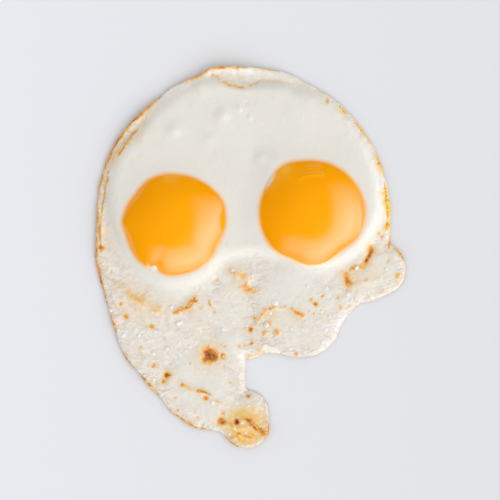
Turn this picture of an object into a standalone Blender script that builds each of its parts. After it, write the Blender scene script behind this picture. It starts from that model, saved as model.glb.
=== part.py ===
"""A fried egg with two yolks: one white that set as a round disc and ran out into thin lobes.

Frame: +Z up, +Y towards the round side, -Y towards the ragged tail. The origin is the middle of
the footprint, on the flat underside. Blender's units are metres; the tables hold millimetres.
"""

import math
from typing import NamedTuple

import bmesh
import bpy
import numpy as np
from mathutils import Matrix

MM = 0.001

# Driving dimensions, in millimetres.
LATTICE = 2.7  # side of the square cells that the white's top is made of
LATTICE_CELLS = 64  # cells along each side before the lattice is trimmed
RIM_THICKNESS = 0.8  # the white's outermost edge
RIM_BANDS = (0.7, 0.9)  # widths of the narrow bands inside it, which round the shoulder
RIM_PASSES = 3  # times that the edge is evened out
RUN_BLEND = 2.5  # fillet where two runs meet in the outline
PAD_BLEND = 1.2  # fillet where two runs meet in height
YOLK_GAP = 0.3  # clearance between a yolk and its pocket
YOLK_SEAT = 1.5  # white left under a yolk
YOLK_EQUATOR = 6.5  # height of a yolk's widest level
YOLK_TOP = 16.0
COLLAR_RISE = 1.9  # how far the white climbs beside a yolk
COLLAR_REACH = 7.0
YOLK_SEGMENTS = 36
YOLK_RINGS = 18

WHITE_COLOUR = (0.83, 0.82, 0.73)
WHITE_ROUGHNESS = 0.35
YOLK_COLOUR = (1.0, 0.38, 0.02)
YOLK_ROUGHNESS = 0.25


class Run(NamedTuple):
    """Where white ran and set: a round-ended stretch between two circles, x and y from the origin."""

    name: str
    start: tuple
    start_radius: float
    end: tuple
    end_radius: float
    thickness: float
    shoulder: float


class Yolk(NamedTuple):
    """A yolk's middle and mean radius, and where and how much its three sides flatten."""

    name: str
    centre: tuple
    radius: float
    flat_deg: float
    flatness: float


class Dip(NamedTuple):
    """A soft hollow: in the outline it is a dent, on the top a dimple."""

    centre: tuple
    reach: float
    depth: float


# The first run is set by the wall of a 12 cm pan. The rest ran out over its low side.
RUNS = (
    Run("pan_disc", (-4.2, 18.5), 60.3, (-2.1, 18.1), 60.3, 2.0, 2.0),
    Run("top_flap", (-12.2, 69.3), 10.5, (12.0, 67.3), 10.0, 1.3, 1.2),
    Run("left_run", (-20.6, 3.0), 44.5, (-33.4, -29.0), 23.1, 2.0, 2.0),
    Run("left_lobe", (-32.3, -30.5), 21.8, (-25.6, -39.0), 22.7, 2.2, 2.0),
    Run("low_lobe", (-23.0, -54.0), 15.1, (-19.3, -58.8), 13.0, 2.8, 2.5),
    Run("tail", (-20.6, -32.8), 17.2, (-14.7, -56.7), 12.6, 1.9, 2.0),
    Run("tip_link", (-19.3, -60.0), 10.9, (-2.1, -70.0), 6.3, 2.6, 2.5),
    Run("tip", (-1.0, -64.7), 8.4, (-2.1, -70.1), 9.9, 4.0, 4.0),
    Run("small_blob", (-4.6, -34.0), 5.9, (0.4, -37.8), 4.4, 2.2, 2.0),
    Run("bulge", (15.5, -18.0), 16.8, (21.0, -24.8), 17.4, 3.3, 4.5),
    Run("bridge", (24.8, -9.7), 16.0, (39.5, -6.3), 13.4, 2.6, 3.0),
    Run("right_lobe", (48.3, -8.8), 10.1, (53.8, -5.0), 11.1, 4.0, 4.5),
    Run("side_lip", (53.8, 20.6), 3.8, (52.9, 8.8), 5.3, 1.5, 1.5),
)

# Thick white: it stands on the runs and never reaches the outline.
MOUNDS = (
    Run("upper_mass", (-20.2, 34.0), 40.3, (14.7, 37.4), 40.7, 6.4, 6.0),
    Run("left_collar", (-32.3, 14.7), 28.4, (-31.5, 9.2), 28.4, 6.0, 6.5),
    Run("right_collar", (25.6, 17.6), 29.4, (26.5, 16.4), 29.4, 6.0, 6.5),
    Run("centre_flow", (-6.7, -5.5), 10.5, (-9.7, -37.0), 8.0, 3.4, 5.0),
)

OUTLINE_DENTS = (
    Dip((-42.4, 64.7), 16.0, 1.3),
    Dip((6.3, -42.0), 3.2, 1.7),
)
DIMPLES = (Dip((4.6, 47.0), 8.0, 1.6),)

YOLKS = (
    Yolk("yolk_left", (-31.9, 14.1), 21.2, 95.0, 0.022),
    Yolk("yolk_right", (25.2, 18.5), 21.6, 80.0, 0.014),
)


def distance_to_run(run, x, y):
    """Signed distance from points to a run's edge in plan, below zero inside it."""
    (ax, ay), (bx, by) = run.start, run.end
    length = math.hypot(bx - ax, by - ay)
    along_x, along_y = (bx - ax) / length, (by - ay) / length
    along = (x - ax) * along_x + (y - ay) * along_y
    across = np.abs((y - ay) * along_x - (x - ax) * along_y)
    sine = (run.start_radius - run.end_radius) / length
    cosine = math.sqrt(1 - sine * sine)
    level = along * cosine - across * sine
    side = across * cosine + along * sine - run.start_radius
    at_start = np.hypot(across, along) - run.start_radius
    at_end = np.hypot(across, along - length) - run.end_radius
    return np.where(level < 0, at_start, np.where(level > cosine * length, at_end, side))


def smooth_least(a, b, blend):
    """The lesser of two heights or distances, with a fillet of that size where they meet."""
    overlap = np.maximum(blend - np.abs(a - b), 0) / blend
    return np.minimum(a, b) - overlap * overlap * blend / 4


def smooth_most(a, b, blend):
    return -smooth_least(-a, -b, blend)


def hollow(dip, x, y):
    """Depth of a soft round hollow over points in plan."""
    apart = np.hypot(x - dip.centre[0], y - dip.centre[1])
    return dip.depth * np.exp(-((apart / dip.reach) ** 2))


def distance_to_outline(x, y):
    """Signed distance to the white's outline, below zero on the egg."""
    distance = distance_to_run(RUNS[0], x, y)
    for run in RUNS[1:]:
        distance = smooth_least(distance, distance_to_run(run, x, y), RUN_BLEND)
    for dent in OUTLINE_DENTS:
        distance = distance + hollow(dent, x, y)
    return distance


def pad_height(run, x, y):
    """Height of one run: flat on top, with a rounded shoulder at its edge."""
    depth = np.clip(-distance_to_run(run, x, y) / run.shoulder, 0, 1)
    return run.thickness * np.sqrt(1 - (1 - depth) ** 2)


def yolk_radius(yolk, angle):
    """Radius of a yolk's outline in plan, a circle with three slightly flat sides."""
    return yolk.radius * (1 - yolk.flatness * np.cos(3 * (angle - math.radians(yolk.flat_deg))))


def collar_height(yolk, x, y):
    """Extra height of the white where it climbs towards a yolk."""
    dx, dy = x - yolk.centre[0], y - yolk.centre[1]
    outside = np.maximum(np.hypot(dx, dy) - yolk_radius(yolk, np.arctan2(dy, dx)), 0)
    return COLLAR_RISE * np.exp(-((outside / COLLAR_REACH) ** 2))


def white_height(x, y):
    """Height of the white's top over points in plan."""
    height = np.full_like(x, RIM_THICKNESS)
    for run in RUNS + MOUNDS:
        height = smooth_most(height, pad_height(run, x, y), PAD_BLEND)
    for yolk in YOLKS:
        height = height + collar_height(yolk, x, y)
    for dimple in DIMPLES:
        height = height - hollow(dimple, x, y)
    depth = np.clip(-distance_to_outline(x, y) / sum(RIM_BANDS), 0, 1)
    return RIM_THICKNESS + (height - RIM_THICKNESS) * np.sqrt(1 - (1 - depth) ** 2)


def snap_to_outline(points):
    """Moves plan points onto the outline, a few Newton steps along its gradient."""
    step = 0.05
    for _ in range(4):
        x, y = points[:, 0], points[:, 1]
        here = distance_to_outline(x, y)
        slope_x = (distance_to_outline(x + step, y) - here) / step
        slope_y = (distance_to_outline(x, y + step) - here) / step
        steepness = slope_x**2 + slope_y**2
        points = points - np.column_stack([here * slope_x, here * slope_y]) / steepness[:, None]
    return points


def plan_of(verts):
    return np.array([vert.co[:2] for vert in verts], dtype=float)


def place(verts, points):
    for vert, point in zip(verts, points):
        vert.co.x, vert.co.y = point


def trim_to_outline(bm):
    """Cuts a lattice down to the outline, then evens out and snaps its edge."""
    plan = plan_of(bm.verts)
    outside = distance_to_outline(plan[:, 0], plan[:, 1]) > 0
    spare = [vert for vert, out in zip(bm.verts, outside) if out]
    bmesh.ops.delete(bm, geom=spare, context="VERTS")
    corners = [vert for vert in bm.verts if len(vert.link_edges) == 2]
    bmesh.ops.dissolve_verts(bm, verts=corners)
    rim = [vert for vert in bm.verts if vert.is_boundary]
    place(rim, snap_to_outline(plan_of(rim)))
    for _ in range(RIM_PASSES):
        middles = []
        for vert in rim:
            beside = [e.other_vert(vert) for e in vert.link_edges if e.is_boundary]
            middles.append((plan_of(beside).mean(axis=0) + vert.co[:2]) / 2)
        place(rim, snap_to_outline(np.array(middles)))
    inner = [vert for vert in bm.verts if not vert.is_boundary]
    near = [v for v in inner if any(e.other_vert(v).is_boundary for e in v.link_edges)]
    for _ in range(RIM_PASSES):
        bmesh.ops.smooth_vert(bm, verts=near, factor=0.5, use_axis_x=True, use_axis_y=True)
    within = list(bm.faces)
    for width in RIM_BANDS:
        bmesh.ops.inset_region(bm, faces=within, thickness=width, use_boundary=True)


def sink_floor(bm):
    """Gives the sheet its flat underside: one face, and a wall down to it all round."""
    top = list(bm.faces)
    made = bmesh.ops.extrude_face_region(bm, geom=top)["geom"]
    for vert in (item for item in made if isinstance(item, bmesh.types.BMVert)):
        vert.co.z = 0
    floor = [item for item in made if isinstance(item, bmesh.types.BMFace)]
    bmesh.ops.dissolve_faces(bm, faces=floor)


def material(name, colour, roughness):
    """A plain moist finish of one colour."""
    finish = bpy.data.materials.new(name)
    finish.use_nodes = True
    shader = finish.node_tree.nodes["Principled BSDF"]
    shader.inputs["Base Color"].default_value = (*colour, 1)
    shader.inputs["Roughness"].default_value = roughness
    shader.inputs["Metallic"].default_value = 0
    return finish


def finish_object(name, bm, finish):
    """Turns a mesh in millimetres into a named object in metres."""
    bmesh.ops.transform(bm, matrix=Matrix.Scale(MM, 4), verts=bm.verts)
    bmesh.ops.recalc_face_normals(bm, faces=bm.faces)
    mesh = bpy.data.meshes.new(name)
    bm.to_mesh(mesh)
    bm.free()
    mesh.materials.append(finish)
    obj = bpy.data.objects.new(name, mesh)
    bpy.context.scene.collection.objects.link(obj)
    return obj


def make_white(finish):
    """The white: a lattice trimmed to the outline, raised to its height and closed underneath."""
    bm = bmesh.new()
    half = LATTICE * LATTICE_CELLS / 2
    bmesh.ops.create_grid(bm, x_segments=LATTICE_CELLS, y_segments=LATTICE_CELLS, size=half)
    trim_to_outline(bm)
    plan = plan_of(bm.verts)
    for vert, height in zip(bm.verts, white_height(plan[:, 0], plan[:, 1])):
        vert.co.z = height
    sink_floor(bm)
    return finish_object("egg_white", bm, finish)


def make_yolk(yolk, name, grow, finish):
    """A yolk as a rounded body: a dome over its equator, a shallower bowl below it."""
    bm = bmesh.new()
    bmesh.ops.create_uvsphere(bm, u_segments=YOLK_SEGMENTS, v_segments=YOLK_RINGS, radius=1)
    dome = YOLK_TOP - YOLK_EQUATOR + grow
    bowl = YOLK_EQUATOR - YOLK_SEAT - YOLK_GAP + grow
    for vert in bm.verts:
        radius = float(yolk_radius(yolk, math.atan2(vert.co.y, vert.co.x))) + grow
        vert.co.x = yolk.centre[0] + vert.co.x * radius
        vert.co.y = yolk.centre[1] + vert.co.y * radius
        vert.co.z = YOLK_EQUATOR + vert.co.z * (dome if vert.co.z > 0 else bowl)
    obj = finish_object(name, bm, finish)
    obj.data.shade_smooth()
    return obj


def cut(body, cutter):
    """Cuts the cutter's shape out of the body, and hides the cutter."""
    cutter.hide_render = True
    cutter.display_type = "WIRE"
    boolean = body.modifiers.new(cutter.name, "BOOLEAN")
    boolean.operation = "DIFFERENCE"
    boolean.solver = "EXACT"
    boolean.object = cutter


def main():
    for obj in list(bpy.data.objects):
        bpy.data.objects.remove(obj)
    white_finish = material("egg_white", WHITE_COLOUR, WHITE_ROUGHNESS)
    yolk_finish = material("egg_yolk", YOLK_COLOUR, YOLK_ROUGHNESS)
    white = make_white(white_finish)
    for yolk in YOLKS:
        make_yolk(yolk, yolk.name, 0, yolk_finish)
        cut(white, make_yolk(yolk, yolk.name + "_pocket", YOLK_GAP, yolk_finish))


main()
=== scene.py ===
# %% [markdown]
# # A fried egg with two yolks
# The plain solids of the egg are already made: one for the white and one for each yolk.
# This lesson gives them their looks. Lengths in the tables are millimetres, and a finished
# piece is scaled to Blender's metres once, at the end of its making.

import math
import random
from typing import NamedTuple

import bmesh
import bpy
import numpy as np
from mathutils import Matrix, Vector, geometry, noise


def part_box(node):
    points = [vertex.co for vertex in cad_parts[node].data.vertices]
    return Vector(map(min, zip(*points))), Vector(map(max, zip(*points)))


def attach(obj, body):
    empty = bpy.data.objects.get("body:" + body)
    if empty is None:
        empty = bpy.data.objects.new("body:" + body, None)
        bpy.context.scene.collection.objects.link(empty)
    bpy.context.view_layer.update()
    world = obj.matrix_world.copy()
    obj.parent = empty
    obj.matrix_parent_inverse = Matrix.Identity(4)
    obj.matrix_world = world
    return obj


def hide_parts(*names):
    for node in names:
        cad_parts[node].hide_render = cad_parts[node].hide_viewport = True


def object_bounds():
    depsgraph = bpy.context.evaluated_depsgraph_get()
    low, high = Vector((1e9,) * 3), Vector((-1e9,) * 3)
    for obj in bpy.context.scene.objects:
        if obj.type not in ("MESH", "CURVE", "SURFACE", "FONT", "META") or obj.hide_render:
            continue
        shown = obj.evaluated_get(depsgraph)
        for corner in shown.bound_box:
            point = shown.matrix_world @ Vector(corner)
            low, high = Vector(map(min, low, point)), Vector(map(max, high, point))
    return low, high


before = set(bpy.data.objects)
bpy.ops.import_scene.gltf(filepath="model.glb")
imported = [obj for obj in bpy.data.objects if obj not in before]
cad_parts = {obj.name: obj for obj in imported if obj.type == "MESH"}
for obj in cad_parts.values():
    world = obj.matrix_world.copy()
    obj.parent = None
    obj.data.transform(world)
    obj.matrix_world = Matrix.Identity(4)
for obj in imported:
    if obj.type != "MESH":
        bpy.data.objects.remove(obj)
cad_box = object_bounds()
MM = 0.001
print("solids:", ", ".join(sorted(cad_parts)))

# %% [markdown]
# ## Words for places on the egg
# An egg has no straight edge to measure from, so most features are one of four simple things
# seen from above. A run is a stretch of white between two circles. A patch fades away from
# its middle. A crease follows a few points. A spot is round. Small named tuples hold them,
# so that a formula can say `spot.radius`, and the tables below are plain rows of numbers.

# %% Runs, patches, creases and spots
class Run(NamedTuple):
    """A round-ended stretch of white between two circles, with its thickness and shoulder."""

    start: tuple
    start_radius: float
    end: tuple
    end_radius: float
    thickness: float
    shoulder: float


class Patch(NamedTuple):
    """Something that is strongest at a centre and fades over its reach."""

    centre: tuple
    reach: float
    amount: float


class Crease(NamedTuple):
    """A fold or a browned line through a few points. Lift is how far it stands up."""

    points: tuple
    width: float
    lift: float
    browning: float


class Spot(NamedTuple):
    """A round blister, if its lift is positive, or a pit."""

    centre: tuple
    radius: float
    lift: float
    browning: float


def runs(*rows):
    return tuple(Run(*row) for row in rows)


def patches(*rows):
    """Patches from rows of x, y, reach and amount."""
    return tuple(Patch((x, y), reach, amount) for x, y, reach, amount in rows)


def spots(*rows):
    """Spots from rows of x, y, radius, lift and browning."""
    return tuple(Spot((x, y), *rest) for x, y, *rest in rows)


def creases(*rows):
    """Creases from rows of width, lift, browning and then the points."""
    return tuple(Crease(points, width, lift, tan) for width, lift, tan, *points in rows)


def fade(patch, x, y):
    """The patch's amount over the points, falling like a bell curve."""
    apart = np.hypot(x - patch.centre[0], y - patch.centre[1])
    return patch.amount * np.exp(-((apart / patch.reach) ** 2))


def strongest(patches, x, y):
    return np.max([fade(patch, x, y) for patch in patches], axis=0)


def crease_closeness(crease, x, y):
    """1 on the crease, falling to 0 over about its width."""
    nearest = np.full_like(x, 1e3)
    for (ax, ay), (bx, by) in zip(crease.points, crease.points[1:]):
        run_x, run_y = bx - ax, by - ay
        along = ((x - ax) * run_x + (y - ay) * run_y) / (run_x**2 + run_y**2)
        along = np.clip(along, 0, 1)
        nearest = np.minimum(nearest, np.hypot(x - ax - along * run_x, y - ay - along * run_y))
    return np.exp(-((nearest / crease.width) ** 2))


def smooth_step(value, low, high):
    share = np.clip((value - low) / (high - low), 0, 1)
    return share * share * (3 - 2 * share)


def smooth_least(a, b, blend):
    """The lesser of two fields, with a fillet of that size where they cross."""
    overlap = np.maximum(blend - np.abs(a - b), 0) / blend
    return np.minimum(a, b) - overlap * overlap * blend / 4


def smooth_most(a, b, blend):
    return -smooth_least(-a, -b, blend)


def ripple(x, y, size, seed):
    """Smooth random relief between about -1 and 1, whose lumps have that size."""
    return np.array([noise.noise((a / size, b / size, seed)) for a, b in zip(x, y)])


def bubble_foam(x, y, size, seed):
    """Domes packed side by side like set bubbles, 1 on top of each and 0 between them."""
    nearest = [noise.voronoi((a / size, b / size, seed))[0][0] for a, b in zip(x, y)]
    return np.sqrt(np.clip(1 - (np.array(nearest) / 0.62) ** 2, 0, 1))


# %% [markdown]
# ## The white's outline
# The white set as a disc against the wall of a small pan and ran out over its low side. Each
# run is a shape whose signed distance is a short formula, below zero inside. The least of
# those distances, with a fillet where two meet, is the outline of the whole white. It has
# the same runs in plan as the solid, so the looks and the solid cover the same ground.

# %% Signed distance to the outline
RUNS = runs(
    ((-4.2, 18.5), 60.3, (-2.1, 18.1), 60.3, 1.7, 2),  # the disc
    ((-12.2, 69.3), 10.5, (12, 67.3), 10, 1.3, 1.2),  # flap at the top
    ((-20.6, 3), 44.5, (-33.4, -29), 23.1, 1.7, 2),  # left side running down
    ((-32.3, -30.5), 21.8, (-25.6, -39), 22.7, 2, 2.5),  # left lobe
    ((-23, -54), 15.1, (-19.3, -58.8), 13, 3, 3.5),  # low lobe
    ((-20.6, -32.8), 17.2, (-14.7, -56.7), 12.6, 1.8, 2),  # tail
    ((-19.3, -60), 10.9, (-2.1, -70), 6.3, 2.4, 3),  # link to the tip
    ((-1, -64.7), 8.4, (-2.1, -70.1), 9.9, 3.8, 4.5),  # curled tip
    ((-4.6, -34), 5.9, (0.4, -37.8), 4.4, 2.2, 2),  # small blob
    ((15.5, -18), 16.8, (21, -24.8), 17.4, 3.2, 5.5),  # bulge
    ((24.8, -9.7), 16, (39.5, -6.3), 13.4, 2.4, 3),  # bridge to the right lobe
    ((48.3, -8.8), 10.1, (53.8, -5), 11.1, 3.8, 5.5),  # right lobe
    ((53.8, 20.6), 3.8, (52.9, 8.8), 5.3, 1.5, 1.5),  # lip beside the right yolk
)
DENTS = patches(
    (-42.4, 64.7, 16, 1.3), (6.3, -42, 3.2, 1.7),
)
RUN_BLEND = 2.5
WOBBLE = 0.35  # the outline's own unevenness


def distance_to_run(run, x, y):
    (ax, ay), (bx, by) = run.start, run.end
    length = math.hypot(bx - ax, by - ay)
    along_x, along_y = (bx - ax) / length, (by - ay) / length
    along = (x - ax) * along_x + (y - ay) * along_y
    across = np.abs((y - ay) * along_x - (x - ax) * along_y)
    sine = (run.start_radius - run.end_radius) / length
    cosine = math.sqrt(1 - sine * sine)
    level = along * cosine - across * sine
    side = across * cosine + along * sine - run.start_radius
    at_start = np.hypot(across, along) - run.start_radius
    at_end = np.hypot(across, along - length) - run.end_radius
    return np.where(level < 0, at_start, np.where(level > cosine * length, at_end, side))


def joined(runs, x, y, blend):
    distance = distance_to_run(runs[0], x, y)
    for run in runs[1:]:
        distance = smooth_least(distance, distance_to_run(run, x, y), blend)
    return distance


def outline(x, y):
    """Signed distance to the white's edge, below zero on the egg."""
    distance = joined(RUNS, x, y, RUN_BLEND)
    for dent in DENTS:
        distance = distance + fade(dent, x, y)
    unevenness = ripple(x, y, 4.5, 3.0) + 0.4 * ripple(x, y, 1.6, 8.0)
    return distance + WOBBLE * unevenness


def outward(x, y, step=0.1):
    """The direction straight out of the outline at each point."""
    here = outline(x, y)
    across_x = (outline(x + step, y) - here) / step
    across_y = (outline(x, y + step) - here) / step
    length = np.hypot(across_x, across_y) + 1e-9
    return here, across_x / length, across_y / length


def snapped(points, level):
    """Points moved along the outline's gradient until their distance is level."""
    for _ in range(4):
        here, nx, ny = outward(points[:, 0], points[:, 1])
        points = points - np.column_stack([nx, ny]) * (here - level)[:, None]
    return points


# %% [markdown]
# ## The yolks' places
# Where each yolk sits and how wide it is comes from its solid. Seen from above a yolk is
# nearly round, with a few sides that the set white pressed flat, so its radius is a
# circle's with a dent for each of them.

# %% Yolks measured from their solids
class Flat(NamedTuple):
    """Degrees round a yolk where its side is pressed in, or stands out if depth is negative."""

    turn: float
    spread: float
    depth: float


class Yolk(NamedTuple):
    centre: tuple
    radius: float
    level: float  # height of its widest level
    dome: float  # how far it rises over that
    flats: tuple


def flats(*rows):
    return tuple(Flat(*row) for row in rows)


YOLK_LEVEL = 6.5
DOME_FULLNESS = 2.15  # 2 is a parabola, and more is rounder
LEFT_FLATS = flats(
    (-160, 22, 0.9), (-113, 8, 1.5), (-70, 25, 0.5), (-25, 17, 1.3), (25, 18, -0.9), (80, 24, 0.6),
    (143, 16, 1), (178, 8, -0.6),
)
RIGHT_FLATS = flats(
    (-114, 14, 1), (-52, 20, 1.7), (5, 20, -0.4), (122, 18, -1.4),
)


def measured_yolk(node, flats):
    low, high = (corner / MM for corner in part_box(node))
    middle = (low + high) / 2
    radius = (high.x - low.x + high.y - low.y) / 4
    return Yolk((middle.x, middle.y), radius, YOLK_LEVEL, high.z - YOLK_LEVEL, flats)


YOLKS = {
    "left": measured_yolk("yolk_left", LEFT_FLATS),
    "right": measured_yolk("yolk_right", RIGHT_FLATS),
}


def yolk_radius(yolk, angle):
    radius = np.full_like(angle, yolk.radius)
    for flat in yolk.flats:
        apart = (np.degrees(angle) - flat.turn + 180) % 360 - 180
        radius = radius - flat.depth * np.exp(-((apart / flat.spread) ** 2))
    return radius


def about_yolk(yolk, x, y):
    """Distance in from the yolk's edge in plan, and the share of the way out to it."""
    dx, dy = x - yolk.centre[0], y - yolk.centre[1]
    apart = np.hypot(dx, dy)
    edge = yolk_radius(yolk, np.arctan2(dy, dx))
    flattened = np.clip(apart / yolk.radius, 0, 1) ** 2  # the flats fade out towards the middle
    share = apart / (yolk.radius + (edge - yolk.radius) * flattened)
    return edge - apart, np.clip(share, 0, 1)


def dome_height(yolk, share):
    """The dome over its level: a slack lens that meets the white at about half a right angle."""
    return yolk.dome * (1 - share**DOME_FULLNESS)


for side, yolk in YOLKS.items():
    print(f"{side} yolk: {2 * yolk.radius:.1f} mm across, top {yolk.level + yolk.dome:.1f} mm up")

# %% [markdown]
# ## How high the white stands
# Thick white held together round the yolks, and its edge is a puffy shoulder. It stops short
# of the outline, where only a thin flange set against the pan. Thin white ran on below in
# flat lobes. The heights are formulas over x and y, which is easier to keep smooth than
# pushing vertices by hand, and every formula is one of the shapes named above.

# %% Thick white, flange and lobes
THICK = 5.8
THICK_SHOULDER = 7.0
LOW_SHOULDER = 16.0  # the shoulder on the side where the white ran out
RIM_THICKNESS = 0.5
RIM_SHOULDER = 3.6
FLANGE = 0.9  # how wide the flange round the thick white is, where no patch widens it
COLLAR_RISE = 0.75  # the white stands a little higher against a yolk
COLLAR_REACH = 6.0
PAD_REACH = 1.7  # how many shoulders wide a run's slope is
PAD_ROUNDNESS = 0.8
PAD_BLEND = 3.0
MOUND_BLEND = 6.0
FLANGE_BLEND = 2.0
THICK_BLEND = 1.5
MOUNDS = runs(
    ((-20.2, 34), 43, (14.7, 37.4), 43, THICK, THICK_SHOULDER),
    ((-32.3, 13.7), 31, (-31.5, 8.2), 30.2, THICK, THICK_SHOULDER),
    ((25.6, 17.6), 31.6, (26.5, 16.4), 31.2, THICK, THICK_SHOULDER),
)
CENTRE_FLOW = Run((-6.7, -5.5), 11.5, (-9.7, -37.0), 9.0, 2.6, 9.0)
FLANGES = patches(
    (-65, 10, 21, 2.9), (-49.5, 54.5, 9, 3), (-3.5, 79.5, 11, 8.2), (15, 76, 10, 2.8),
)
HOLLOWS = patches(
    (1.5, 47, 7.5, 0.7), (3, 37, 6, 0.5), (-1, 26, 9, 0.3), (-18, -31, 4.5, 0.7), (-30, 62, 14, 0.4),
    (36, 52, 16, 0.4),
)
SWELLS = patches(
    (8.5, 39, 4.5, 0.8), (-12.2, 58.8, 4.5, 0.45), (-31.9, 52.1, 6, 0.4), (-19.3, 71, 5, 0.4),
    (20, 60, 10, 0.5), (-32.4, 52.6, 2.6, 0.95), (-17.6, 48.8, 2.4, 0.6), (-12, 59, 2.4, 0.85),
    (-5, 62.1, 1.8, 0.45), (-20.8, 72.2, 2.6, 0.75), (4, 41.4, 2.6, 1), (-36, -14, 9, 0.6),
    (16, -7, 8, 0.6),
)


def pad(run, x, y):
    """Height of a run: level on top, with a long easy shoulder down to a thin edge."""
    depth = np.clip(-distance_to_run(run, x, y) / (PAD_REACH * run.shoulder), 0, 1)
    return run.thickness * (1 - (1 - depth) ** 2) ** PAD_ROUNDNESS


def thick_depth(x, y, edge):
    """How far inside the thick white's edge the points are."""
    flange = FLANGE + sum(fade(patch, x, y) for patch in FLANGES)
    return -smooth_most(joined(MOUNDS, x, y, MOUND_BLEND), edge + flange, FLANGE_BLEND)


def lobe_height(x, y, edge):
    """The thin runs and the thick white, before any small relief."""
    height = np.full_like(x, RIM_THICKNESS)
    for run in (*RUNS, CENTRE_FLOW):
        height = smooth_most(height, pad(run, x, y), PAD_BLEND)
    shoulder = LOW_SHOULDER + (THICK_SHOULDER - LOW_SHOULDER) * smooth_step(y, -8.0, 24.0)
    depth = np.clip(thick_depth(x, y, edge) / shoulder, 0, 1)
    rounded = np.sqrt(1 - (1 - depth) ** 2)
    eased = smooth_step(depth, 0.0, 1.0) ** 0.75
    thick = THICK * (eased + (rounded - eased) * smooth_step(y, -4.0, 22.0))
    height = smooth_most(height, thick, THICK_BLEND)
    for yolk in YOLKS.values():
        outside = np.maximum(-about_yolk(yolk, x, y)[0], 0)
        height = height + COLLAR_RISE * np.exp(-((outside / COLLAR_REACH) ** 2))
    height = height - sum(fade(patch, x, y) for patch in HOLLOWS)
    return height + sum(fade(patch, x, y) for patch in SWELLS)


# %% [markdown]
# ## Folds, blisters, pits and browning
# These tables are the portrait of this egg. Where thin white cooked hard it wrinkled,
# blistered and browned, so one entry gives both the relief and the browning: the shape and
# the colour then always agree. Browning runs from 0, white, to 1, burnt.

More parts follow.
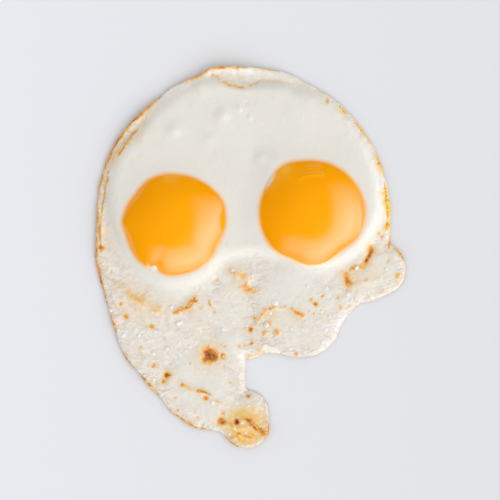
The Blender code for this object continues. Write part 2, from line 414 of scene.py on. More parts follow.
# %% The egg's own marks
CREASES = creases(
    # the pocket under the top flap, a groove drawn darker along its line
    (0.55, -0.35, 0.28, (-17, 76.6), (-12.2, 73.6), (-8, 71.6), (-4.6, 70.9)),
    (0.55, -0.35, 0.36, (-6.5, 71.1), (-4, 70.8), (-0.4, 71.4), (4.6, 73.9)),
    (0.6, -0.3, 0.16, (4.6, 73.9), (13.9, 73.3), (22.7, 71.8), (31.1, 68.5)),
    # folds inside the flange at the top left
    (0.8, 0.3, 0.2, (-41.8, 62.2), (-45.8, 56.3), (-49.6, 49.6)),
    (1, 0.35, 0.24, (-45.5, 55), (-49.6, 50.6), (-52.5, 46.2), (-55.9, 42)),
    (0.9, 0.2, 0.22, (-52, 49), (-55.5, 44)),
    # the inner line of the left flange
    (0.5, 0.45, 0.3, (-60.2, 32), (-61.2, 25), (-62.6, 17.2), (-62.9, 9), (-62.5, 2)),
    (0.6, 0.1, 0.5, (-62.9, 15), (-63.4, 11), (-62.7, 6)), (0.5, 0.2, 0.45, (-59.6, 36), (-60.4, 30.5)),
    # folds below the left yolk
    (2.6, 0.5, 0.2, (-54.4, -12.8), (-48.7, -16.8), (-42.4, -20.6), (-37, -23.6)),
    (2.2, 0.3, 0.25, (-53.5, -13.4), (-50, -16), (-45.5, -18.6)),
    (0.8, 0.5, 0.2, (-52.5, -15.8), (-46.5, -19.8), (-39.5, -23.6)),
    (1, 0.4, 0.2, (-44, -18), (-38, -21.4)), (1, 0.35, 0.08, (-55.4, -17), (-48, -22.5), (-40, -27.5)),
    (1.1, 0.3, 0.07, (-50, -27.5), (-42, -30.5), (-30, -32)),
    (1.3, 0.5, 0.36, (-31.4, -23.3), (-25.6, -19.5), (-23, -17)),
    (0.6, -0.3, 0.6, (-28.2, -22.9), (-25.5, -20.6), (-22.7, -18)),
    (1.5, 0.3, 0.2, (-23.6, -19.6), (-21, -21.6)),
    (0.35, 0.2, 0.42, (-17.8, -18.4), (-16.6, -21), (-14.7, -24)),
    (0.5, 0.35, 0.05, (-33.6, -22), (-33.2, -27)), (0.4, 0.3, 0.04, (-35, -22.4), (-34.8, -26.4)),
    # browned clumps below the middle
    (2.3, 0.5, 0.22, (-8.6, -5.8), (-6, -7), (-5.2, -9.4)),
    (1.8, 0.4, 0.3, (-5.6, -6.8), (-3, -8), (-1.2, -9.2)),
    (1, 0.3, 0.4, (-2.2, -9.4), (-2, -11), (-3.6, -12.8)),
    (1.7, 0.35, 0.3, (-4.4, -12.8), (-1.4, -13.6), (2, -14.2)),
    # low lobe
    (0.8, 0.4, 0.44, (-28.9, -53.6), (-24.9, -55.6), (-21, -56.2)),
    (0.7, 0.4, 0.27, (-21, -56.2), (-16.6, -57.9), (-13.3, -60.8), (-10, -62.2)),
    # the tip's golden crust
    (1.5, 0.7, 0.64, (-3.2, -68), (-0.4, -68.9), (3.1, -72.2), (5.9, -74.2)),
    (1, 0.3, 0.3, (-3.6, -67), (1.5, -67.4), (4.6, -70.2)),
    (0.8, 0.4, 0.5, (-8.2, -75.8), (-4.2, -74.4), (0.6, -75.6)),
    (1, 0.5, 0.3, (-9, -70), (-6, -71.6), (-1, -71.4)),
    (0.5, 0.3, 0.14, (1.2, -56.3), (5, -60.8), (7.3, -66.6), (7.5, -71.8)),
    (0.5, 0.35, 0.16, (-3.1, -45.4), (-2.5, -50), (-1.3, -53.8)),
    # the small blob's rim
    (0.6, 0.3, 0.36, (-1.2, -41.6), (1.2, -41.6), (3, -40.2), (4.2, -38.2)),
    # the ring above the bulge, and the blisters' lines beside it
    (0.9, 0.4, 0.36, (1.6, -28.4), (3.8, -25.5), (6, -22.4)), (0.6, 0.4, 0.5, (6, -22.4), (9.5, -21.2)),
    (0.6, 0.35, 0.2, (9.5, -21.2), (13, -20.9), (18.1, -22.3)),
    (1.1, 0.35, 0.46, (17.4, -21.8), (21.2, -24.4)),
    (0.5, 0.2, 0.3, (-0.4, -30.5), (3.8, -31.1), (8, -31.4)),
    (0.4, 0.2, 0.18, (3.4, -35.7), (10.5, -33.6)),
    # burn marks between the thick white and the right lobe
    (1.8, -0.4, 0.48, (50.7, 4.2), (49, -0.2), (46.4, -4.4)), (1.3, -0.3, 0.58, (49.8, 2.2), (48, -2)),
    (1.1, 0.3, 0.44, (44.4, -4.4), (41.6, -5.3), (39.9, -8.4)),
    (1.8, -0.3, 0.58, (40, -7.4), (40.8, -10.6)), (0.9, 0.3, 0.12, (42, -12.6), (48, -10.6), (54, -9)),
    # right rim
    (0.5, 0.1, 0.2, (37.4, 64.4), (44, 57.4), (49.5, 48.6), (53, 40.4)),
    (0.6, 0.1, 0.36, (52.4, 43.4), (53.6, 38.6), (54.6, 34)), (0.5, 0.2, 0.42, (57.9, 8.8), (57.6, 3.6)),
)
SPOTS = spots(
    (-17.3, -41, 4, -0.9, 0.95), (-15.6, -42.2, 2.4, -0.5, 0.75), (-18.9, -42.6, 2.4, -0.4, 0.72),
    (-11.8, -41.5, 1.6, -0.3, 0.62), (-11.6, -45.8, 1.1, -0.2, 0.3), (0.2, -36.1, 1.3, -0.3, 0.6),
    (-10.9, -37.4, 0.8, -0.2, 0.5), (-4.8, -37.3, 0.8, -0.2, 0.5), (-2.5, -37.3, 0.7, -0.2, 0.5),
    (-35, -49.4, 2.1, -0.5, 0.72), (-36.8, -51.9, 1.8, -0.4, 0.56), (-40.7, -45.4, 1.6, -0.3, 0.5),
    (-46.3, -37.8, 0.8, -0.2, 0.45), (-41.7, -51.1, 1.1, -0.2, 0.2), (-18.9, -58.8, 1.6, -0.4, 0.6),
    (-31.6, -58.8, 0.9, -0.2, 0.35), (-30.7, -64.1, 1, -0.2, 0.45), (-23.6, -64.7, 1.1, -0.3, 0.22),
    (-22.4, -67, 1, -0.3, 0.42), (-11.8, -65.1, 1.5, -0.4, 0.35), (-12.3, -68.7, 2.2, -0.4, 0.74),
    (-6, -68.9, 1.7, -0.7, 1), (-0.8, -58.4, 1.1, 0.2, 0.62), (6, -28, 1, 0.8, 0.05),
    (1.3, -26, 0.9, 0.2, 0.6), (-0.2, -30.5, 1.5, -0.3, 0.66), (7, -28, 2.3, 0.2, 0.4),
    (10.8, -31.5, 1.9, 0.5, 0.46), (5.7, -32.3, 1.1, 0.2, 0.5), (24.8, -17.8, 1.2, -0.3, 0.4),
    (19.7, -16.8, 0.9, 0.2, 0.3), (27.1, -19.7, 1.2, -0.3, 0.62), (29.8, -16.4, 0.8, -0.2, 0.5),
    (26.3, -23.5, 0.7, 0.2, 0.4), (37.4, -21.3, 1.3, 0.2, 0.4), (41.1, -20.4, 0.9, 0.2, 0.36),
    (40.3, -13.4, 0.9, -0.2, 0.4), (44.1, -14.7, 1, 0.2, 0.3), (61.3, -7.6, 1.6, 0.3, 0.5),
    (63, 1.2, 1.3, 0.1, 0.5), (57.4, -1.5, 1.8, -0.3, 0.24), (53.3, 9.7, 1.2, -0.2, 0.42),
    (54.8, 8.6, 0.9, -0.2, 0.45), (31.7, 65.4, 1.5, -0.6, 0.36), (53.1, 39.1, 1.2, 0.3, 0.5),
    (19.3, -40.6, 1, 0.2, 0.5), (-54.4, -19.7, 1.2, 0.1, 0.45), (-52.4, -24.8, 1.7, -0.3, 0.56),
    (-41.7, -29.1, 1.5, -0.3, 0.5), (-55.6, -29.1, 1.1, 0.1, 0.4), (-62.7, 3.8, 1.3, -0.3, 0.85),
    (-58.5, -6.3, 1.1, -0.4, 0.32), (-57.6, -9, 0.9, -0.3, 0.28), (-14.5, -9.3, 1.2, -0.5, 0.26),
    (-9.1, -4.7, 1.1, -0.4, 0.24), (1.6, 1.4, 1.1, -0.3, 0.2), (-45.1, -15.5, 1.2, -0.4, 0.2),
    (-36.8, -18.6, 0.9, -0.3, 0.2), (5, -2, 0.9, 0.2, 0.12), (-2.1, 63.8, 1.2, -0.3, 0.08),
    (-0.4, 58.4, 1.8, 0.5, 0), (-4.6, 61.7, 1.3, 0.4, 0),
)
TAN_PATCHES = patches(
    (-4, -9, 4.5, 0.14), (-49, -17.5, 5, 0.16), (-44, -22, 7, 0.1), (-36, -27, 7, 0.06),
    (-19, -33, 4, 0.08), (-20, -42, 5, 0.1), (50, -7, 6, 0.12), (44, -11, 4, 0.16), (57, -9, 5, 0.07),
    (60, -14, 6, 0.08), (24, -38, 7, 0.05), (-49.5, 52, 5, 0.14), (-58, 41, 3, 0.2), (8, -26, 7, 0.1),
    (30, -24, 5, 0.06), (-64, 8, 9, 0.12),
)
STAINS = patches(  # where a little yolk ran and set
    (-2.2, -71, 6, 2.4), (-6.5, -69.5, 4.2, 1.4), (-4.5, -75.5, 2.6, 0.7), (3.5, -73.5, 2.8, 0.6),
    (55.3, 26.5, 1.6, 0.8), (56.2, 22.5, 1.5, 0.95), (57.2, 18, 1.5, 1), (57.6, 14.6, 1.3, 0.9),
    (56.6, 12, 1.4, 0.7), (54, 37, 1.4, 0.6), (39, 61.6, 1.8, 0.45), (49, 51, 1.6, 0.3),
    (44, -8, 2.2, 0.35), (49.2, 2, 1.6, 0.5), (8, -23.5, 3, 0.3), (19.5, -25, 2.6, 0.3),
    (-46, -19, 5, 0.28), (-26, -21.5, 2.6, 0.35), (-45, -53, 2, 0.35), (4, -39.5, 1.6, 0.5),
)
EDGE_STRETCHES = patches(
    (-46, 59, 8, 0.8), (-52.5, 51, 7, 0.72), (-57.5, 42.5, 6.5, 0.68), (-61.5, 31, 8, 0.6),
    (-64.5, 17, 8, 0.42), (-65.5, 6, 8, 0.45), (-64.8, -7, 8, 0.55), (-57.5, -28.5, 3, 0.4),
    (-61.5, -17, 4, 0.2), (-23, 77, 6, 0.58), (-12, 80, 8, 0.55), (7, 79, 5, 0.3), (-51, -41, 2.5, 0.3),
    (-42.5, -54.5, 4.5, 0.4), (-26.5, -69, 4.5, 0.4), (-8, -78, 3, 0.3), (8, -73, 4, 0.5),
    (62.5, 2, 4, 0.45), (64, -8, 8, 0.15), (48, 52, 16, 0.24), (54, 37, 6, 0.42),
)
FOAM_PATCHES = patches(
    (29, -18, 9, 1), (42, -15, 7, 0.8), (52, -10, 6, 0.7), (6, -30, 6, 0.7), (-4, -11, 8, 0.6),
    (-40, -46, 9, 0.6), (-23, -62, 9, 0.7), (-3, -71, 8, 1), (-46, -22, 9, 0.4), (-64, 4, 7, 0.5),
    (-8, 76, 9, 0.4), (-14, -44, 5, 0.5),
)
CURLS = patches(
    (-48, 57, 15, 1.9), (-64, 14, 15, 1), (-28, 74, 12, 1.6), (-6, 80, 15, 3.8), (-60, -26, 11, 1),
    (-46, -50, 13, 1.3), (-24, -71, 13, 1.3), (6, -74, 8, 2), (-5, -80, 7, 1.8), (62, 0, 8, 1.1),
    (58, -15, 9, 0.9), (21, -42, 13, 1), (56, 34, 16, 0.8), (36, 66, 16, 0.8),
)
print(len(CREASES), "creases and", len(SPOTS), "spots")

# %% Scattered specks
SPECK_COUNT = 220
SPECK_AREAS = patches(
    (29, -18, 7, 0.9), (42, -14, 5, 0.9), (52, -9, 6, 0.8), (6, -30, 6, 1), (-5, -12, 8, 0.7),
    (-40, -40, 10, 0.8), (-22, -62, 7, 0.8), (-3, -71, 5, 1.2), (-46, -22, 8, 0.7), (-15, -42, 7, 0.8),
    (-8, 75.5, 7, 0.5), (-56, 38, 5, 0.5),
)


def scattered_specks():
    """Small blisters and tan flecks over the thin white, thickest where it foamed."""
    draw = random.Random(7)
    found = []
    while len(found) < SPECK_COUNT:
        spread = draw.choice(SPECK_AREAS)
        x = draw.gauss(spread.centre[0], spread.reach)
        y = draw.gauss(spread.centre[1], spread.reach)
        radius = draw.uniform(0.35, 0.95)
        lift = draw.uniform(-0.15, 0.3)
        browning = spread.amount * draw.choice((0.0, 0.0, 0.1, 0.2, 0.3, 0.5))
        found.append(Spot((x, y), radius, lift, browning))
    return tuple(found)


SPECKS = scattered_specks()
print(len(SPECKS), "specks")

# %% [markdown]
# ## Putting the relief together
# One function takes points in plan and gives back everything the white needs there: how high
# its top and its underside are, and the masks that its material reads. Ripples move the
# points a little before they are compared with the marks, so that no mark is a perfect line
# or circle.

# %% Film on the yolks
FILM = 0.06  # the film of white that climbs onto a yolk
FILM_REACH = 0.0  # how far in it goes before it thins out
FILM_SLOPE = 0.45
FILM_CURVE = 0.2
FOOT_FILLET = 0.8
POCKET_START = 4.0  # from here in, the white dives under the yolk
POCKET_FLOOR = 1.2
FILM_LUMPS = patches(
    (-40.4, -4.6, 1.3, 1.5), (-42.8, -2.6, 1.1, 0.9), (22, -0.4, 1.1, 1.6), (7, 32.5, 5, 0.8),
)


def yolk_film(yolk, x, y):
    """How far inside a yolk the points are, the film's height there, and its pocket's."""
    inside, share = about_yolk(yolk, x, y)
    dome = yolk.level + dome_height(yolk, share) - 2.0 * np.maximum(-inside, 0)
    lumps = sum(fade(patch, x, y) for patch in FILM_LUMPS)
    beyond = np.maximum(inside - FILM_REACH, 0)
    film = FILM + lumps - FILM_SLOPE * beyond - FILM_CURVE * beyond**2
    pocket = yolk.level - (yolk.level - POCKET_FLOOR) * np.sqrt(1 - share**2)
    return inside, dome + film, pocket


# %% Heights and masks
PUCKERS = ((0.3, 8.0, 1.0), (0.2, 3.2, 5.0), (0.12, 1.5, 15.0))  # lift, size and seed
FOAM_HEIGHT = 0.6
HALO = 2.4  # how much wider a mark's faint tan halo is than the mark
HALO_SHARE = 0.35  # and how brown it is beside the mark
GLOW_REACH = 2.4  # half the width of the band where a yolk's colour fades into the white


def blotches(x, y, size, seed):
    """Uneven browning: a multiplier between 0.25 and 1.5 in lumps of that size."""
    return np.clip(0.95 + 0.9 * ripple(x, y, size, seed), 0.25, 1.5)


def small_relief(x, y, height, thin):
    """Puckers on the thin white and a gentler swell on the thick."""
    foam = strongest(FOAM_PATCHES, x, y) * thin
    for lift, size, seed in PUCKERS:
        height = height + lift * thin * ripple(x, y, size, seed)
    height = height + 0.16 * (1 - thin) * ripple(x, y, 9.0, 2.0)
    return height + FOAM_HEIGHT * foam * (bubble_foam(x, y, 2.1, 4.0) - 0.4)


def marked(x, y, height):
    """Adds every crease and spot to the height, and gives back the browning they leave."""
    browning = strongest(TAN_PATCHES, x, y)
    coarse, fine = blotches(x, y, 3.2, 31.0), blotches(x, y, 1.2, 37.0) ** 0.5
    for crease in CREASES:
        close = crease_closeness(crease, x, y)
        halo = crease_closeness(crease._replace(width=crease.width * HALO), x, y)
        height = height + crease.lift * close
        brown = np.maximum(close * fine, HALO_SHARE * halo) * crease.browning * coarse
        browning = np.maximum(browning, brown)
    for spot in (*SPOTS, *SPECKS):
        apart = np.hypot(x - spot.centre[0], y - spot.centre[1]) / spot.radius
        height = height + spot.lift * np.exp(-((apart / 0.7) ** 4))
        core = spot.browning * np.exp(-((apart / 0.8) ** 2)) * (0.6 + 0.4 * fine)
        halo = 0.3 * spot.browning * np.exp(-((apart / 1.5) ** 2))
        browning = np.maximum(browning, np.maximum(core, halo))
    return height, browning


def relief(x, y):
    """Everything that the white needs to know at points in plan."""
    edge = outline(x, y)
    wander_x = x + 0.6 * ripple(x, y, 2.6, 11.0) + 0.25 * ripple(x, y, 0.9, 12.0)
    wander_y = y + 0.6 * ripple(x, y, 2.6, 17.0) + 0.25 * ripple(x, y, 0.9, 18.0)
    height = lobe_height(x, y, edge)
    # thin white counts for less at the top, where the flange cooked as smooth as the thick
    thin = (1 - smooth_step(height, 1.8, 4.6)) * (1 - 0.55 * smooth_step(y, 52.0, 70.0))
    height = small_relief(wander_x, wander_y, height, thin)
    height, browning = marked(wander_x, wander_y, height)

    rim = np.clip(-edge / RIM_SHOULDER, 0, 1)
    height = RIM_THICKNESS + (height - RIM_THICKNESS) * np.sqrt(1 - (1 - rim) ** 2)
    stretch = strongest(EDGE_STRETCHES, wander_x, wander_y) * blotches(x, y, 3.6, 41.0)
    height = height + 0.45 * stretch * np.exp(-(((edge + 0.8) / 0.6) ** 2))
    crisp = np.exp(-(((edge + 0.1) / 0.55) ** 2)) + 0.3 * np.exp(-(((edge + 0.8) / 1.6) ** 2))
    browning = np.maximum(browning, np.minimum(stretch, 0.8) * crisp)

    lift = sum(fade(patch, x, y) for patch in CURLS) * smooth_step(edge, -5.0, 0.0) ** 2
    floor = 0.12 + 0.12 * ripple(x, y, 3.0, 21.0) + lift
    height = height + lift

    glow = np.zeros_like(x)
    for yolk in YOLKS.values():
        inside, skin, pocket = yolk_film(yolk, x, y)
        height = smooth_most(height, skin, FOOT_FILLET)
        under = np.maximum(pocket, np.minimum(height, skin))
        height = np.where(inside > POCKET_START, under, height)
        glow = np.maximum(glow, np.clip((inside + GLOW_REACH) / (2 * GLOW_REACH), 0, 1))
    lumps = np.clip(sum(fade(patch, x, y) for patch in FILM_LUMPS) - 0.3, 0, 1)
    found = {"top": height, "floor": floor, "browning": browning, "thin": thin}
    found["glow"] = glow * (1 - lumps)
    found["stain"] = strongest(STAINS, wander_x, wander_y) * blotches(x, y, 2.2, 47.0)
    return found


# %% [markdown]
# ## Building the white
# A height formula wants an even lattice under it. A Blender grid is trimmed to the outline,
# its ragged edge is pulled onto the outline, and the sheet is extruded to give it an
# underside. The thin wall between the two is split into rings that are rolled into a round
# edge. The rows are closer together below the yolks, where the marks are fine.

# %% Lattice rows and columns
FINE = 0.5  # mm between rows over the thin white
COARSE = 0.78  # and over the thick
COLUMN = 0.56
ROLL = 0.45  # how far the rolled edge stands out past the lattice
ROLL_CUTS = 4


def row_places(low, high):
    """Rows from low to high, close together over the thin white and wider over the thick."""
    places = [low]
    while places[-1] < high:
        spread = float(smooth_step(np.array(places[-1]), -14.0, -4.0))
        places.append(places[-1] + FINE + (COARSE - FINE) * spread)
    return places


def lattice_sheet():
    """A flat sheet of cells inside the outline, its border even and on one level line."""
    low, high = (corner / MM for corner in cad_box)
    rows = row_places(low.y - 1, high.y + 1)
    width = high.x - low.x + 2
    columns = round(width / COLUMN)
    bm = bmesh.new()
    bmesh.ops.create_grid(bm, x_segments=columns, y_segments=len(rows) - 1, size=1)
    for vert in bm.verts:
        vert.co.x = (low.x + high.x) / 2 + vert.co.x * width / 2
        vert.co.y = rows[round((vert.co.y + 1) / 2 * (len(rows) - 1))]
    plan = np.array([vert.co[:2] for vert in bm.verts])
    outside = outline(plan[:, 0], plan[:, 1]) > -ROLL
    spare = [vert for vert, out in zip(bm.verts, outside) if out]
    bmesh.ops.delete(bm, geom=spare, context="VERTS")
    corners = [vert for vert in bm.verts if len(vert.link_edges) == 2]
    bmesh.ops.dissolve_verts(bm, verts=corners)
    border = [vert for vert in bm.verts if vert.is_boundary]
    for _ in range(4):
        middles = []
        for vert in border:
            beside = [e.other_vert(vert).co for e in vert.link_edges if e.is_boundary]
            middles.append((sum(beside, Vector()) / len(beside) + vert.co)[:2])
        points = snapped(np.array(middles) / 2, -ROLL)
        for vert, point in zip(border, points):
            vert.co.x, vert.co.y = point
    near = {e.other_vert(vert) for vert in border for e in vert.link_edges} - set(border)
    for _ in range(3):
        bmesh.ops.smooth_vert(bm, verts=list(near), factor=0.5, use_axis_x=True, use_axis_y=True)
    return bm


# %% Underside and rolled edge
def thickened(bm):
    """Adds an underside and rings of wall. Height counts from 1, the top, to 0, the underside."""
    for vert in bm.verts:
        vert.co.z = 1
    made = bmesh.ops.extrude_face_region(bm, geom=list(bm.faces))["geom"]
    for vert in (item for item in made if isinstance(item, bmesh.types.BMVert)):
        vert.co.z = 0
    wall = [edge for edge in bm.edges if abs(edge.verts[0].co.z - edge.verts[1].co.z) > 0.5]
    bmesh.ops.subdivide_edges(bm, edges=wall, cuts=ROLL_CUTS, use_grid_fill=True)
    bmesh.ops.recalc_face_normals(bm, faces=bm.faces)


def shaped(bm):
    """Raises the sheet to its heights and rolls its edge. Gives back the masks."""
    place = np.array([vert.co for vert in bm.verts])
    x, y, share = place.T
    found = relief(x, y)
    turn = np.pi * (1 - share)
    middle = (found["top"] + found["floor"]) / 2
    half = (found["top"] - found["floor"]) / 2
    _, nx, ny = outward(x, y)
    roll = ROLL * np.sin(turn)
    points = np.column_stack([x + nx * roll, y + ny * roll, middle + half * np.cos(turn)])
    for vert, point in zip(bm.verts, points):
        vert.co = point
    found["underside"] = 1 - smooth_step(share, 0.0, 0.5)
    return found


def finished_piece(name, bm, masks=None):
    """A mesh in millimetres made into a smooth object in metres, with its masks."""
    bmesh.ops.transform(bm, matrix=Matrix.Scale(MM, 4), verts=bm.verts)
    mesh = bpy.data.meshes.new(name)
    bm.to_mesh(mesh)
    bm.free()
    for mask, values in (masks or {}).items():
        attribute = mesh.attributes.new(mask, "FLOAT", "POINT")
        attribute.data.foreach_set("value", np.asarray(values, np.float32))
    mesh.shade_smooth()
    piece = bpy.data.objects.new(name, mesh)
    bpy.context.scene.collection.objects.link(piece)
    print(name, len(mesh.polygons), "faces")
    return piece


white_mesh = lattice_sheet()
thickened(white_mesh)
white_masks = shaped(white_mesh)
KEPT_MASKS = ("browning", "thin", "glow", "stain", "underside")
white = finished_piece("white_of_egg", white_mesh, {name: white_masks[name] for name in KEPT_MASKS})

# %% [markdown]
# ## The yolks
# A yolk is a skin full of liquid, so it is a smooth dome with no corners. An icosphere has
# even faces and no pole on top, where a reflection would show one. The mesh is stretched to
# the dome and the bowl, and a mask marks where a film of white veils it.

# %% Yolk domes
YOLK_SUBDIVISIONS = 6
BOWL_FLOOR = 1.6  # height of a yolk's lowest point
VEILS = {
    "left": patches((-33.5, 33.6, 3.0, 0.35)),
    "right": patches((6.4, 31.6, 3.0, 0.8), (9.0, 34.8, 3.0, 0.8), (13.4, 37.6, 3.0, 0.7)),
}
YOLK_FOLDS = {
    "left": creases((1.0, 0.2, 0.0, (-27.0, 33.0), (-23.0, 31.0))),
    "right": creases(
        (0.9, 0.5, 0.0, (20.4, 33.0), (25.0, 34.6), (29.4, 34.4)),
        (0.8, 0.35, 0.0, (23.6, 37.0), (28.5, 37.6)),
        (0.6, 0.12, 0.0, (45.6, 10.0), (46.2, 17.0), (45.4, 23.0)),
    ),
}


def yolk_piece(side, yolk):
    bm = bmesh.new()
    bmesh.ops.create_icosphere(bm, subdivisions=YOLK_SUBDIVISIONS, radius=1)
    bowl = yolk.level - BOWL_FLOOR
    unit = np.array([vert.co for vert in bm.verts])
    share = np.hypot(unit[:, 0], unit[:, 1])
    edge = yolk_radius(yolk, np.arctan2(unit[:, 1], unit[:, 0]))
    radius = yolk.radius + (edge - yolk.radius) * share**2
    x = yolk.centre[0] + unit[:, 0] * radius
    y = yolk.centre[1] + unit[:, 1] * radius
    above = unit[:, 2] > 0
    share = np.where(above, about_yolk(yolk, x, y)[1], share)
    z = yolk.level + np.where(above, dome_height(yolk, share), unit[:, 2] * bowl)
    z = z + 0.12 * np.maximum(unit[:, 2], 0) * ripple(x, y, 13.0, 6.0)
    for fold in YOLK_FOLDS[side]:
        z = z + np.where(above, fold.lift * crease_closeness(fold, x, y), 0)
    for vert, point in zip(bm.verts, np.column_stack([x, y, z])):
        vert.co = point
    wander = 0.6 * ripple(x, y, 3.0, 9.0)
    veil = strongest(VEILS[side], x + wander, y + wander)
    return finished_piece(f"{side}_yolk_dome", bm, {"veil": veil})


yolk_pieces = {side: yolk_piece(side, yolk) for side, yolk in YOLKS.items()}

# %% [markdown]
# ## Crisp edges and yolk drips
# Where the thin edge fried hardest it dried into a crisp thread, finer than the lattice's
# cells, and at the right a little yolk ran down the rim. Both are long and thin, so both
# are made by one sweep: a small round face is extruded from point to point of a smooth path
# that is pulled onto the outline, and each new face is set to the thickness wanted there.

# %% Sweeping along the rim
SECTION = 7  # corners of a thread's section
STRIDE = 0.55  # mm between its rings


def smooth_path(points, inset):
    """Even steps along a curve through the points, pulled to that depth inside the outline."""
    ends = [points[0], *points, points[-1]]
    path = []
    for before, start, end, after in zip(ends, ends[1:], ends[2:], ends[3:]):
        start, end = Vector(start), Vector(end)
        out = start + (end - Vector(before)) / 6
        back = end - (Vector(after) - start) / 6
        count = max(2, round((end - start).length / STRIDE))
        curve = geometry.interpolate_bezier(*(v.to_3d() for v in (start, out, back, end)), count + 1)
        path += [point[:2] for point in curve[:-1]]
    path = np.array([*path, points[-1]])
    return path if inset is None else snapped(path, -inset)


def swept(bm, path, heights, widths, rise):
    """A closed thread through the path: widths across, and rise times that upwards."""
    made = bmesh.ops.create_circle(bm, cap_ends=True, segments=SECTION, radius=1)["verts"]
    face = made[0].link_faces[0]
    turns = [math.tau * corner / SECTION for corner in range(SECTION)]
    last = len(path) - 1
    for index, (point, height, width) in enumerate(zip(path, heights, widths)):
        if index:
            grown = bmesh.ops.extrude_face_region(bm, geom=[face])["geom"]
            face = next(item for item in grown if isinstance(item, bmesh.types.BMFace))
        ahead = path[min(index + 1, last)] - path[max(index - 1, 0)]
        side = Vector((ahead[1], -ahead[0], 0)).normalized()
        middle = Vector((*point, height))
        for vert, turn in zip(face.verts, turns):
            vert.co = middle + side * (width * math.cos(turn))
            vert.co.z += width * rise * math.sin(turn)


def threads(name, stretches, rise, seed):
    """One piece of threads that lie on the white, from rows of inset, width and the points."""
    bm = bmesh.new()
    for inset, width, *points in stretches:
        path = smooth_path(points, inset)
        x, y = path.T
        ground = relief(x, y)["top"]
        along = np.linspace(0, 1, len(path))
        taper = np.sqrt(np.clip(np.sin(np.pi * along), 0.02, 1))
        widths = width * taper * (1 + 0.45 * ripple(x, y, 1.8, seed))
        swept(bm, path, ground + 0.1 * width, widths, rise)
    bmesh.ops.recalc_face_normals(bm, faces=bm.faces)
    return finished_piece(name, bm)


# %% Crisp edge
CRISP_STRETCHES = (
    (0.25, 0.34, (-22.5, 75.9), (-19, 77.4), (-15, 78.8), (-10.5, 79.4)),
    (0.3, 0.26, (-10, 79.4), (-5.5, 79.4), (-1, 79)),
    (0.3, 0.42, (-37, 67.2), (-41.2, 64.4), (-44.9, 60.1), (-47.5, 57.6)),
    (0.25, 0.3, (-47.6, 57.4), (-49.1, 55.9), (-52.5, 51.7), (-54.6, 47.9)),
    (0.3, 0.46, (-54.8, 47.5), (-56.7, 44.1), (-58.4, 39.1), (-60, 36)),
    (0.3, 0.34, (-60.4, 35), (-61.7, 29.4), (-63, 26)),
    (0.3, 0.26, (-63.2, 24.5), (-64, 20), (-64.3, 17.2)),
    (0.3, 0.4, (-65.2, 8.5), (-65.4, 2.5), (-64.9, -3.4), (-63.8, -8.2)),
    (0.3, 0.27, (-63.4, -9.7), (-61.3, -16), (-59.6, -21.5)),
    (0.3, 0.42, (-58.8, -24), (-57.4, -28.5), (-56, -31.9)),
    (0.25, 0.36, (-52.1, -38.9), (-50.4, -41.6), (-47.8, -46.3)),
    (0.3, 0.45, (-46.6, -48.3), (-43.5, -53.2), (-40.7, -56.3), (-37.5, -58.4)),
    (0.3, 0.46, (-32.6, -62.2), (-30.7, -65.1), (-26.9, -69.5), (-21.4, -71.8), (-16.5, -72.6)),
    (0.25, 0.34, (-10.9, -75.2), (-8, -77.7), (-4.6, -79.4)),
    (0.3, 0.3, (5, -76.5), (7.4, -73.4), (8.2, -70)), (0.3, 0.3, (60, 4.4), (62.6, 1.8), (64, -1.5)),
    (None, 0.4, (-47, 53.4), (-49.6, 50.6), (-52.5, 46.2), (-55.4, 42.4)),
    (None, 0.22, (-60.4, 31.5), (-61.4, 25), (-62.5, 18.4)),
    (None, 0.3, (-62.8, 14), (-63.1, 9), (-62.6, 3.6)),
    (None, 0.4, (-31, -23.2), (-27.6, -21.6), (-24.6, -18.8), (-23.2, -17.2)),
    (None, 0.42, (-0.6, -68.9), (1.6, -70.2), (3.1, -72.2), (5.9, -74.2)),
    (None, 0.34, (-22.5, -55.8), (-19, -56.6), (-16.6, -57.9)),
)
crisp_edge = threads("crisp_edge", CRISP_STRETCHES, 0.8, 51.0)

# %% Yolk drips
DRIP_STRETCHES = (
    (0.9, 0.55, (54, 30.2), (55.2, 26.6), (55.9, 24.4)),
    (1.1, 1.1, (55.4, 26), (56.6, 21.6), (57.1, 18.9), (57.7, 16.4)),
    (1.6, 1, (56.8, 14.4), (56.6, 13.2), (56.1, 11.6)),
    (0.9, 0.35, (36.1, 64), (39.5, 61.3), (41.2, 59.5)),
    (0.7, 0.26, (42.8, 57.6), (46, 54), (48.4, 50.8)),
    (None, 0.75, (-5.2, -73.2), (-4.6, -75.2), (-4.2, -76.6)),
    (None, 0.4, (-0.6, -73.4), (0.8, -74.4), (2, -75)),
)
yolk_drips = threads("yolk_drips", DRIP_STRETCHES, 0.65, 55.0)

# %% [markdown]
# ## Set bubbles and burnt flecks
# Steam blew small bubbles in the thin white, and they set as glossy blisters. There are
# about eighty, so each is a small icosphere of eighty faces, flattened and set a little
# into the white. The clearest stand at their own places and the rest are thrown about. Burnt
# flecks are made the same way, from fewer faces, and stay angular.

